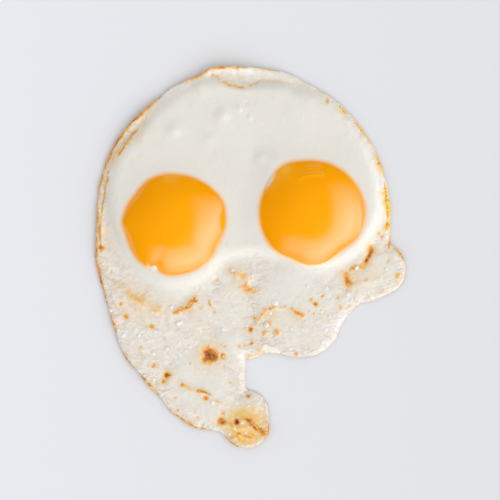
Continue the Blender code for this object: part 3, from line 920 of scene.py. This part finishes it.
# %% Blisters and flecks
BLISTER_PLACES = (  # x, y and radius
    (-35.2, -38.4, 1.1), (-33.4, -21.1, 1.1), (-30.2, -27.8, 1.5), (-25.7, -37.6, 0.8), (-27.3, -39, 0.7),
    (-40.8, -40.5, 0.8), (-58.7, -22.4, 0.8), (-55.4, -30.5, 0.8), (10, -19.1, 1.5), (8, -23.3, 0.9),
    (21.5, -30.1, 0.9), (31.2, -30.3, 1.3), (30.1, -35.4, 0.9), (21.7, -35.9, 0.8), (35.9, -23.6, 1),
    (40.6, -15.5, 0.9), (40, -19, 0.8), (-16, -60.8, 1.2), (6.4, -28.4, 1.3),
)
BUBBLE_COUNT = 80
FLECK_PLACES = patches(  # the amount is how many
    (-17, -41, 1.7, 7), (-11.7, -41.6, 0.5, 2), (-35, -49.4, 0.6, 3), (-6, -68.9, 0.5, 3),
    (-12.2, -68.6, 0.8, 4), (40.3, -9.6, 0.8, 2), (3.6, -71.6, 1.2, 5), (0, -30.3, 0.5, 2),
)


def pebbles(name, places, subdivisions, flatness, sink):
    """Small rounded lumps of one piece that sit in the white at (x, y, radius) places."""
    x, y, radii = np.array(places).T
    ground = relief(x, y)["top"]
    bm = bmesh.new()
    turning = random.Random(23)
    for px, py, radius, height in zip(x, y, radii, ground):
        made = bmesh.ops.create_icosphere(bm, subdivisions=subdivisions, radius=radius)["verts"]
        turn = Matrix.Rotation(turning.uniform(0, math.tau), 4, "Z")
        tilt = Matrix.Rotation(turning.uniform(-0.3, 0.3), 4, "X")
        squash = Matrix.Diagonal((1.0, turning.uniform(0.75, 1.0), flatness, 1.0))
        place = Matrix.Translation((px, py, height - sink * radius))
        bmesh.ops.transform(bm, matrix=place @ turn @ tilt @ squash, verts=made)
    return finished_piece(name, bm)


def bubble_places():
    """The clearest blisters, then random ones inside the outline and clear of the yolks."""
    draw = random.Random(11)
    found = list(BLISTER_PLACES)
    while len(found) < BUBBLE_COUNT:
        spread = draw.choice(SPECK_AREAS)
        x = draw.gauss(spread.centre[0], 0.9 * spread.reach)
        y = draw.gauss(spread.centre[1], 0.9 * spread.reach)
        radius = 0.4 + 0.7 * draw.random() ** 3
        apart = outline(np.array([x]), np.array([y]))[0]
        insides = [about_yolk(yolk, np.array([x]), np.array([y]))[0][0] for yolk in YOLKS.values()]
        if apart < -1.5 and max(insides) < -7 and y < 10:
            found.append((x, y, radius))
    return found


def fleck_places():
    draw = random.Random(5)
    found = []
    for patch in FLECK_PLACES:
        for _ in range(patch.amount):
            x = draw.gauss(patch.centre[0], patch.reach)
            y = draw.gauss(patch.centre[1], patch.reach)
            found.append((x, y, draw.uniform(0.18, 0.5)))
    return found


set_bubbles = pebbles("set_bubbles", bubble_places(), 2, 0.3, 0.06)
burnt_flecks = pebbles("burnt_flecks", fleck_places(), 1, 0.5, 0.1)
burnt_flecks.data.shade_flat()

# %% [markdown]
# ## Shader helpers and shared effects
# Materials are node trees. A helper adds one node and wires its inputs, so that a tree reads
# like a list. Browning and the fine relief of a moist skin show on more than one piece, so
# each is a node group: it is built once, and each material sets its own values.

# %% Node helpers
def wire(tree, made, inputs):
    """Each input is a plain value, or another node's output to link."""
    for socket, value in inputs.items():
        if isinstance(value, bpy.types.NodeSocket):
            tree.links.new(value, made.inputs[socket])
        else:
            made.inputs[socket].default_value = value


def add_node(tree, kind, inputs, **settings):
    made = tree.nodes.new("ShaderNode" + kind)
    for name, value in settings.items():
        setattr(made, name, value)
    wire(tree, made, inputs)
    return made


def blend_colour(tree, share, first, second):
    """A Mix node for colours: share 0 gives the first and 1 the second."""
    inputs = {0: share, 6: first, 7: second}
    return add_node(tree, "Mix", inputs, data_type="RGBA").outputs[2]


def arithmetic(tree, operation, *values):
    inputs = dict(enumerate(values))
    return add_node(tree, "Math", inputs, operation=operation).outputs[0]


def product(tree, *values):
    """All the values multiplied, from left to right."""
    result = values[0]
    for value in values[1:]:
        result = arithmetic(tree, "MULTIPLY", result, value)
    return result


def spread_out(tree, value, low, high, to_low=0.0, to_high=1.0, eased="LINEAR"):
    """Stretches a value's range and stops it at both ends."""
    inputs = {"Value": value, "From Min": low, "From Max": high, "To Min": to_low, "To Max": to_high}
    return add_node(tree, "MapRange", inputs, interpolation_type=eased).outputs[0]


def noise_at(tree, place, scale, detail, **more):
    inputs = {"Vector": place, "Scale": scale, "Detail": detail, **more}
    return add_node(tree, "TexNoise", inputs).outputs["Fac"]


def ramp(tree, value, stops):
    """A colour ramp through (place, colour) stops."""
    made = add_node(tree, "ValToRGB", {"Fac": value})
    elements = made.color_ramp.elements
    while len(elements) < len(stops):
        elements.new(0.5)
    for element, (place, colour) in zip(elements, stops):
        element.position = place
        element.color = (*colour, 1)
    return made.outputs["Color"]


def new_group(name, inputs, outputs):
    """An empty shader node group with named sockets, and its inner ends."""
    group = bpy.data.node_groups.new(name, "ShaderNodeTree")
    for direction, sockets in (("INPUT", inputs), ("OUTPUT", outputs)):
        for socket, kind in sockets.items():
            group.interface.new_socket(socket, in_out=direction, socket_type="NodeSocket" + kind)
    return group, group.nodes.new("NodeGroupInput").outputs, group.nodes.new("NodeGroupOutput").inputs


def use_group(tree, group, inputs):
    made = tree.nodes.new("ShaderNodeGroup")
    made.node_tree = group
    wire(tree, made, inputs)
    return made.outputs


# %% Browning
BROWNS = (
    (0.0, (0.74, 0.64, 0.50)),
    (0.2, (0.77, 0.57, 0.30)),
    (0.36, (0.82, 0.42, 0.10)),
    (0.5, (0.74, 0.29, 0.03)),
    (0.7, (0.42, 0.13, 0.01)),
    (1.0, (0.10, 0.03, 0.008)),
)


def browning_effect():
    """Takes a base colour through tan and golden to burnt, broken up by a fine grain."""
    sockets_in = {"Base": "Color", "Browning": "Float", "Place": "Vector", "Grain": "Float"}
    group, given, out = new_group("browning", sockets_in, {"Color": "Color", "Mask": "Float"})
    grain = noise_at(group, given["Place"], 700.0, 4.0, Roughness=0.6)
    swing = arithmetic(group, "SUBTRACT", grain, 0.5)
    swing = arithmetic(group, "MULTIPLY_ADD", swing, given["Grain"], 1.0)
    amount = product(group, given["Browning"], swing)
    mask = spread_out(group, amount, 0.0, 0.26)
    colour = ramp(group, amount, BROWNS)
    group.links.new(blend_colour(group, mask, given["Base"], colour), out["Color"])
    group.links.new(mask, out["Mask"])
    return group


BROWNING = browning_effect()


# %% Moist skin
def moist_effect():
    """Height of a wet cooked skin: soft dents with a finer pucker over them."""
    sockets_in = {"Place": "Vector", "Dents": "Float", "Pucker": "Float"}
    group, given, out = new_group("moist_skin", sockets_in, {"Height": "Float"})
    dents = noise_at(group, given["Place"], given["Dents"], 2.0)
    pucker = noise_at(group, given["Place"], given["Pucker"], 3.0)
    group.links.new(arithmetic(group, "MULTIPLY_ADD", pucker, 0.35, dents), out["Height"])
    return group


MOIST_SKIN = moist_effect()


# %% Set bubbles
def bubble_effect():
    """Small set bubbles: the height of their domes and a thin ring at the foot of each."""
    sockets_in = {"Place": "Vector", "Scale": "Float", "Share": "Float"}
    group, given, out = new_group("set_bubbles", sockets_in, {"Height": "Float", "Ring": "Float"})
    cells = add_node(group, "TexVoronoi", {"Vector": given["Place"], "Scale": given["Scale"]})
    apart = cells.outputs["Distance"]
    own = add_node(group, "SeparateColor", {"Color": cells.outputs["Color"]}).outputs[0]
    chosen = arithmetic(group, "LESS_THAN", own, given["Share"])
    dome = spread_out(group, apart, 0.1, 0.36, 1.0, 0.0, "SMOOTHSTEP")
    group.links.new(product(group, dome, chosen), out["Height"])
    beside = arithmetic(group, "ABSOLUTE", arithmetic(group, "SUBTRACT", apart, 0.34))
    ring = spread_out(group, beside, 0.02, 0.1, 1.0, 0.0, "SMOOTHSTEP")
    group.links.new(product(group, ring, chosen), out["Ring"])
    return group


SET_BUBBLES = bubble_effect()

# %% [markdown]
# ## Cooked white
# Set white is milky: light goes a little way in, so the material has some subsurface
# scattering under a wet gloss. Where it is thin the pan's warmth shows through as a peachy
# grey, next to a yolk it takes the yolk's colour, and its underside is browned in rings.
# The masks that the mesh carries say where each of these is.

# %% White material
def new_material(name):
    made = bpy.data.materials.new(name)
    made.use_nodes = True
    tree = made.node_tree
    shader = tree.nodes["Principled BSDF"]
    place = tree.nodes.new("ShaderNodeTexCoord").outputs["Object"]
    return made, tree, shader, place


def mask_of(tree, name):
    return add_node(tree, "Attribute", {}, attribute_name=name).outputs["Fac"]


def set_moist_shader(shader, scatter, reach, coat_roughness, coat_ior):
    """The values of a wet food surface that are the same all over it."""
    shader.inputs["Subsurface Weight"].default_value = scatter
    shader.inputs["Subsurface Radius"].default_value = reach
    shader.inputs["Subsurface Scale"].default_value = 1.0
    shader.inputs["IOR"].default_value = 1.5
    shader.inputs["Coat Roughness"].default_value = coat_roughness
    shader.inputs["Coat IOR"].default_value = coat_ior


def wet_bump(tree, shader, height, distance, strength):
    inputs = {"Height": height, "Distance": distance, "Strength": strength}
    tree.links.new(add_node(tree, "Bump", inputs).outputs["Normal"], shader.inputs["Normal"])


YOLK_ORANGE = (1.0, 0.40, 0.0, 1)
YOLK_DEEP = (1.0, 0.37, 0.0, 1)
THICK_CREAM = (0.735, 0.725, 0.67, 1)
CLOUDY_CREAM = (0.74, 0.725, 0.69, 1)
THIN_CREAM = (0.76, 0.72, 0.67, 1)
THIN_TAN = (0.75, 0.66, 0.57, 1)
THIN_GREY = (0.73, 0.695, 0.685, 1)
# painted highlight and painted shade: the thin white is painted whiter on the crests of the curd relief
# and a darker tan in its dips
CREST_GLINT_WHITE = (0.86, 0.85, 0.83, 1)
DIP_SHADE_TAN = (0.66, 0.55, 0.46, 1)
STAINED = (0.84, 0.49, 0.02, 1)
YOLK_ROUGHNESS = 0.1
CURD_STRETCH = (0.75, 1.15, 1.0)  # the curds lie a little along x
CURD_LIFT = 5.0
BUBBLE_LIFT = 1.4
RING_TAN = 0.13
EDGE_COLOURS = (  # from the white beside a yolk to the yolk
    (0.0, (0.80, 0.66, 0.52)),
    (0.3, (0.90, 0.56, 0.30)),
    (0.48, (1.0, 0.43, 0.08)),
    (0.6, YOLK_ORANGE[:3]),
)


def white_colour(tree, place, lumps):
    """Cream where it is thick, mottled where it is thin, with painted highlights on the curds' crests and
    painted shade in their dips, and a yolk's colour next to it.
    """
    thick = blend_colour(tree, noise_at(tree, place, 60.0, 2.0), THICK_CREAM, CLOUDY_CREAM)
    mottle = spread_out(tree, noise_at(tree, place, 110.0, 4.0), 0.38, 0.64)
    thin = blend_colour(tree, mottle, THIN_CREAM, THIN_TAN)
    grey = spread_out(tree, noise_at(tree, place, 75.0, 2.0), 0.5, 0.7)
    thin = blend_colour(tree, grey, thin, THIN_GREY)
    # painted highlight on the crests of the curds and painted shade in their dips, from the same noise
    # that raises them in the bump
    curds_and_glints = spread_out(tree, lumps, 0.54, 0.66)
    dip_shade = spread_out(tree, lumps, 0.46, 0.34)
    thin = blend_colour(tree, dip_shade, thin, DIP_SHADE_TAN)
    thin = blend_colour(tree, curds_and_glints, thin, CREST_GLINT_WHITE)
    colour = blend_colour(tree, mask_of(tree, "thin"), thick, thin)
    stain = spread_out(tree, mask_of(tree, "stain"), 0.0, 0.85, 0.0, 0.96)
    colour = blend_colour(tree, stain, colour, STAINED)
    glow = mask_of(tree, "glow")
    share = spread_out(tree, glow, 0.0, 0.6, eased="SMOOTHSTEP")
    return blend_colour(tree, share, colour, ramp(tree, glow, EDGE_COLOURS)), share


def toasted_underside(tree, place):
    """Browning under the egg: rings where bubbles stood on the pan, over soft patches."""
    inputs = {"Vector": place, "Scale": 210.0}
    rings = add_node(tree, "TexVoronoi", inputs, feature="DISTANCE_TO_EDGE").outputs["Distance"]
    ring = spread_out(tree, rings, 0.0, 0.16, 0.42, 0.0)
    toast = arithmetic(tree, "MULTIPLY_ADD", noise_at(tree, place, 45.0, 4.0), 0.5, ring)
    return product(tree, toast, mask_of(tree, "underside"))


def white_material():
    """Curds and set bubbles where it is thin, with painted highlights on the curds' crests and painted
    shade in their dips, browning, and a wet coat that is best near a yolk.
    """
    made, tree, shader, place = new_material("cooked_white")
    stretched = add_node(tree, "VectorMath", {0: place, 1: CURD_STRETCH}, operation="MULTIPLY")
    lumps = noise_at(tree, stretched.outputs["Vector"], 300.0, 5.0, Distortion=1.4)
    colour, near_yolk = white_colour(tree, place, lumps)
    thin = mask_of(tree, "thin")
    clusters = spread_out(tree, noise_at(tree, place, 90.0, 2.0), 0.42, 0.58)
    foamy = product(tree, clusters, thin)
    large = use_group(tree, SET_BUBBLES, {"Place": place, "Scale": 330.0, "Share": 0.5})
    small = use_group(tree, SET_BUBBLES, {"Place": place, "Scale": 720.0, "Share": 0.6})
    rings = arithmetic(tree, "MAXIMUM", large["Ring"], small["Ring"])
    rings = product(tree, rings, foamy, RING_TAN)

    amount = arithmetic(tree, "MAXIMUM", mask_of(tree, "browning"), toasted_underside(tree, place))
    amount = arithmetic(tree, "MAXIMUM", amount, rings)
    browned = use_group(tree, BROWNING, {"Base": colour, "Browning": amount, "Place": place, "Grain": 1.6})
    tree.links.new(browned["Color"], shader.inputs["Base Color"])

    rough = spread_out(tree, browned["Mask"], 0.0, 1.0, 0.33, 0.42)
    inputs = {0: near_yolk, 2: rough, 3: YOLK_ROUGHNESS}
    tree.links.new(add_node(tree, "Mix", inputs).outputs[0], shader.inputs["Roughness"])
    coat = spread_out(tree, thin, 0.0, 1.0, 0.3, 0.35)
    coat = add_node(tree, "Mix", {0: near_yolk, 2: coat, 3: 1.0}).outputs[0]
    tree.links.new(coat, shader.inputs["Coat Weight"])

    skin = use_group(tree, MOIST_SKIN, {"Place": place, "Dents": 260.0, "Pucker": 900.0})["Height"]
    domes = arithmetic(tree, "MULTIPLY_ADD", small["Height"], 0.45, large["Height"])
    height = arithmetic(tree, "MULTIPLY_ADD", product(tree, domes, foamy), BUBBLE_LIFT, skin)
    wrinkled = spread_out(tree, noise_at(tree, place, 55.0, 2.0), 0.4, 0.6, 0.3, 1.0)
    curds_and_glints = product(tree, lumps, product(tree, wrinkled, thin))
    height = arithmetic(tree, "MULTIPLY_ADD", curds_and_glints, CURD_LIFT, height)
    strength = spread_out(tree, near_yolk, 0.0, 0.8, 0.8, 0.05)
    wet_bump(tree, shader, height, 0.0004, strength)
    set_moist_shader(shader, 0.3, (0.003, 0.0025, 0.002), 0.12, 1.5)
    return made


white.data.materials.append(white_material())

# %% [markdown]
# ## Yolk
# The yolk's skin is wet and very smooth, so it mirrors the windows of the room softly, and
# its sheen is tinted towards pink. The orange itself is even. Only the veil changes it,
# where white film lies over the yolk.

# %% Yolk material
VEILED = (1.0, 0.58, 0.10, 1)
PINK_SHEEN = (1.0, 0.6, 0.95, 1)


def yolk_material():
    made, tree, shader, place = new_material("moist_yolk")
    colour = blend_colour(tree, noise_at(tree, place, 70.0, 3.0), YOLK_ORANGE, YOLK_DEEP)
    swing = arithmetic(tree, "MULTIPLY_ADD", noise_at(tree, place, 320.0, 3.0), 0.5, 0.75)
    veil = product(tree, mask_of(tree, "veil"), swing)
    veil = spread_out(tree, veil, 0.0, 1.0, 0.0, 0.9)
    tree.links.new(blend_colour(tree, veil, colour, VEILED), shader.inputs["Base Color"])
    rough = spread_out(tree, veil, 0.0, 1.0, YOLK_ROUGHNESS, 0.34)
    tree.links.new(rough, shader.inputs["Roughness"])
    shader.inputs["Coat Weight"].default_value = 0.2
    skin = use_group(tree, MOIST_SKIN, {"Place": place, "Dents": 130.0, "Pucker": 500.0})
    wet_bump(tree, shader, skin["Height"], 0.0003, 0.1)
    set_moist_shader(shader, 0.08, (0.004, 0.0018, 0.0004), 0.06, 1.5)
    shader.inputs["IOR"].default_value = 1.55
    shader.inputs["Specular Tint"].default_value = PINK_SHEEN
    return made


yolk_finish = yolk_material()
for piece in yolk_pieces.values():
    piece.data.materials.append(yolk_finish)

# %% [markdown]
# ## Crisp thread, blister and fleck
# The small pieces are the same foods as the big ones, cooked further. The crisp thread is
# dry and golden, a blister is white and wet, a fleck is nearly black, and a drip is yolk that
# set. Blisters and drips are too thin for light to wander in, so they have no scattering.

# %% Small pieces' materials
def crisp_material():
    made, tree, shader, place = new_material("crisp_white")
    toast = spread_out(tree, noise_at(tree, place, 420.0, 3.0), 0.3, 0.7, 0.26, 0.62)
    inputs = {"Base": THIN_TAN, "Browning": toast, "Place": place, "Grain": 0.8}
    browned = use_group(tree, BROWNING, inputs)
    tree.links.new(browned["Color"], shader.inputs["Base Color"])
    tree.links.new(spread_out(tree, toast, 0.2, 0.7, 0.3, 0.5), shader.inputs["Roughness"])
    skin = use_group(tree, MOIST_SKIN, {"Place": place, "Dents": 900.0, "Pucker": 2500.0})
    wet_bump(tree, shader, skin["Height"], 0.0002, 0.5)
    shader.inputs["Coat Weight"].default_value = 0.3
    set_moist_shader(shader, 0.3, (0.0015, 0.0007, 0.0003), 0.2, 1.5)
    return made


DRIP_YELLOW = (0.90, 0.58, 0.01, 1)
BLISTER_WHITE = (0.78, 0.765, 0.73, 1)


def bubble_material():
    made, tree, shader, place = new_material("blistered_white")
    tint = spread_out(tree, noise_at(tree, place, 170.0, 2.0), 0.4, 0.66)
    tree.links.new(blend_colour(tree, tint, BLISTER_WHITE, THIN_CREAM), shader.inputs["Base Color"])
    tree.links.new(spread_out(tree, tint, 0.0, 1.0, 0.25, 0.35), shader.inputs["Roughness"])
    skin = use_group(tree, MOIST_SKIN, {"Place": place, "Dents": 700.0, "Pucker": 2500.0})
    wet_bump(tree, shader, skin["Height"], 0.0001, 0.4)
    shader.inputs["Coat Weight"].default_value = 0.5
    set_moist_shader(shader, 0.0, (0.003, 0.0026, 0.002), 0.15, 1.5)
    return made


def drip_material():
    made, tree, shader, place = new_material("set_yolk")
    cooked = noise_at(tree, place, 400.0, 2.0)
    tree.links.new(blend_colour(tree, cooked, DRIP_YELLOW, YOLK_ORANGE), shader.inputs["Base Color"])
    shader.inputs["Roughness"].default_value = 0.3
    shader.inputs["Coat Weight"].default_value = 0.5
    set_moist_shader(shader, 0.0, (0.002, 0.001, 0.0004), 0.15, 1.5)
    return made


def fleck_material():
    made, tree, shader, place = new_material("burnt_white")
    char = spread_out(tree, noise_at(tree, place, 900.0, 2.0), 0.35, 0.65, 0.5, 0.84)
    inputs = {"Base": THIN_TAN, "Browning": char, "Place": place, "Grain": 0.6}
    tree.links.new(use_group(tree, BROWNING, inputs)["Color"], shader.inputs["Base Color"])
    tree.links.new(spread_out(tree, char, 0.6, 1.0, 0.35, 0.6), shader.inputs["Roughness"])
    return made


SMALL_PIECES = {
    crisp_edge: (crisp_material(), "egg_white"),
    yolk_drips: (drip_material(), "egg_yolk"),
    set_bubbles: (bubble_material(), "egg_white"),
    burnt_flecks: (fleck_material(), "egg_white"),
}
for piece, (finish, _) in SMALL_PIECES.items():
    piece.data.materials.append(finish)

# %% [markdown]
# ## Every piece rides on the egg's one body
# The white and the two yolks each stand in for their solid, which then isn't shown. The
# small pieces lie on the white and stand in for nothing.

# %% Ride and replace
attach(white, "root")
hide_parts("egg_white")
for side, piece in yolk_pieces.items():
    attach(piece, "root")
    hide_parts(f"yolk_{side}")
for piece, (_, slot) in SMALL_PIECES.items():
    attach(piece, "root")

# %% [markdown]
# ## Floor, light and camera
# A pale table, painted lighter on the left and darker on the right as a painted fall-off of light,
# and a camera that looks straight down. The light is a bright corner of two
# windows in a plain dim room, brightest where the windows meet, which gives the egg its soft
# shadow. As world light it is even over the whole table, and a wet yolk mirrors the windows'
# shape.

# %% Floor
# painted light and painted shade: the table is painted lighter on the left and darker on the right, a
# fall-off of light put into its colour
TABLE_LEFT_LIT = (0.72, 0.735, 0.785, 1)
TABLE_RIGHT_SHADED = (0.675, 0.695, 0.735, 1)
TABLE_SIZE = 2500  # mm, half its width
TABLE_TOP = -0.02  # mm, just under the egg


def floor_piece():
    bm = bmesh.new()
    bmesh.ops.create_grid(bm, x_segments=1, y_segments=1, size=TABLE_SIZE)
    bmesh.ops.translate(bm, vec=(0, 0, TABLE_TOP), verts=bm.verts)
    piece = finished_piece("table", bm)
    made, tree, shader, place = new_material("pale_table")
    # painted light: the table's colour runs from lighter on the left to darker on the right
    across = add_node(tree, "SeparateXYZ", {"Vector": place}).outputs["X"]
    share = spread_out(tree, across, -0.1, 0.1)
    colour = blend_colour(tree, share, TABLE_LEFT_LIT, TABLE_RIGHT_SHADED)
    tree.links.new(colour, shader.inputs["Base Color"])
    shader.inputs["Roughness"].default_value = 0.6
    shader.inputs["Specular IOR Level"].default_value = 0.2
    piece.data.materials.append(made)
    return piece


floor_piece()

# %% Room light
ROOM_FILL = 0.655  # soft light that comes from everywhere
TOP_FILL = 0.45  # a little more from overhead
WINDOW_FILL = 0.4  # and from the windows
BEAM_FILL = 1.6  # the brightest part of the sky, behind the corner between the windows
DIM_ROOM = 0.02  # what the wet surfaces mirror away from the windows
WINDOW_GLOW = 8.2  # and what they mirror of them
WARM = (1.0, 0.985, 0.965, 1)
DAYLIGHT = (0.98, 0.99, 1.0, 1)
BACKDROP = (0.80, 0.82, 0.87, 1)
RIGHT_WINDOW_TOP = 0.78  # tangent of a window's upper edge, measured from straight up
NEAR_WINDOW_TOP = 1.0
WINDOW_EDGE = 0.3  # how soft that edge is
WINDOW_CORNER = 0.9  # how round the corner between them is
WINDOW_MIDDLE = Vector((0.56, -0.52, 0.64)).normalized()  # the corner between the windows


def window_share(tree, towards, facing):
    """1 where a direction meets the windows, fading at their edges and towards the floor."""
    x, y, z = add_node(tree, "SeparateXYZ", {"Vector": towards}).outputs
    rise = arithmetic(tree, "MAXIMUM", z, 0.02)
    right = arithmetic(tree, "SUBTRACT", arithmetic(tree, "DIVIDE", x, rise), RIGHT_WINDOW_TOP)
    near = arithmetic(tree, "DIVIDE", y, product(tree, rise, -1.0))
    near = arithmetic(tree, "SUBTRACT", near, NEAR_WINDOW_TOP)
    corner = arithmetic(tree, "SMOOTH_MAX", right, near, WINDOW_CORNER)
    below_top = spread_out(tree, corner, -WINDOW_EDGE, WINDOW_EDGE, eased="SMOOTHSTEP")
    gradient = spread_out(tree, corner, -WINDOW_EDGE, 2.2, 0.15, 1.0)
    brightness = spread_out(tree, facing, 0.1, 0.95)
    above_sill = spread_out(tree, z, 0.0, 0.5, 0.35, 1.0)
    return product(tree, below_top, gradient, product(tree, brightness, above_sill))


def room_light():
    """Two tall windows that meet in the near right corner of a room, as world light."""
    world = bpy.data.worlds.new("room")
    world.use_nodes = True
    tree = world.node_tree
    towards = tree.nodes.new("ShaderNodeTexCoord").outputs["Generated"]
    height = add_node(tree, "SeparateXYZ", {"Vector": towards}).outputs["Z"]
    inputs = {0: towards, 1: WINDOW_MIDDLE}
    facing = add_node(tree, "VectorMath", inputs, operation="DOT_PRODUCT").outputs["Value"]
    share = window_share(tree, towards, facing)
    colour = blend_colour(tree, share, WARM, DAYLIGHT)
    fill = spread_out(tree, height, 0.6, 0.85, ROOM_FILL, ROOM_FILL + TOP_FILL)
    fill = arithmetic(tree, "MULTIPLY_ADD", share, WINDOW_FILL, fill)
    beam = spread_out(tree, facing, 0.75, 1.0, eased="SMOOTHSTEP")
    fill = arithmetic(tree, "MULTIPLY_ADD", beam, BEAM_FILL, fill)
    soft = add_node(tree, "Background", {"Color": colour, "Strength": fill}).outputs[0]
    mirrored = arithmetic(tree, "MULTIPLY_ADD", share, WINDOW_GLOW, DIM_ROOM)
    gloss = add_node(tree, "Background", {"Color": colour, "Strength": mirrored}).outputs[0]
    plain = add_node(tree, "Background", {"Color": BACKDROP, "Strength": 1.0}).outputs[0]
    ray = tree.nodes.new("ShaderNodeLightPath").outputs
    light = add_node(tree, "MixShader", {0: ray["Is Glossy Ray"], 1: soft, 2: gloss}).outputs[0]
    seen = add_node(tree, "MixShader", {0: ray["Is Camera Ray"], 1: light, 2: plain}).outputs[0]
    tree.links.new(seen, tree.nodes["World Output"].inputs["Surface"])
    return world


bpy.context.scene.world = room_light()
bpy.context.scene.view_settings.view_transform = "Standard"

# %% Camera
VIEW_WIDTH = 210.0
VIEW_CENTRE = (-0.4, 2.9)
LENS = 135.0

camera = bpy.data.objects.new("camera", bpy.data.cameras.new("camera"))
camera.data.lens = LENS
camera.data.sensor_width = 36.0
rise = VIEW_WIDTH * LENS / camera.data.sensor_width
camera.location = Vector((*VIEW_CENTRE, rise)) * MM
bpy.context.scene.collection.objects.link(camera)
bpy.context.scene.camera = camera
print(f"camera {rise:.0f} mm over the table")
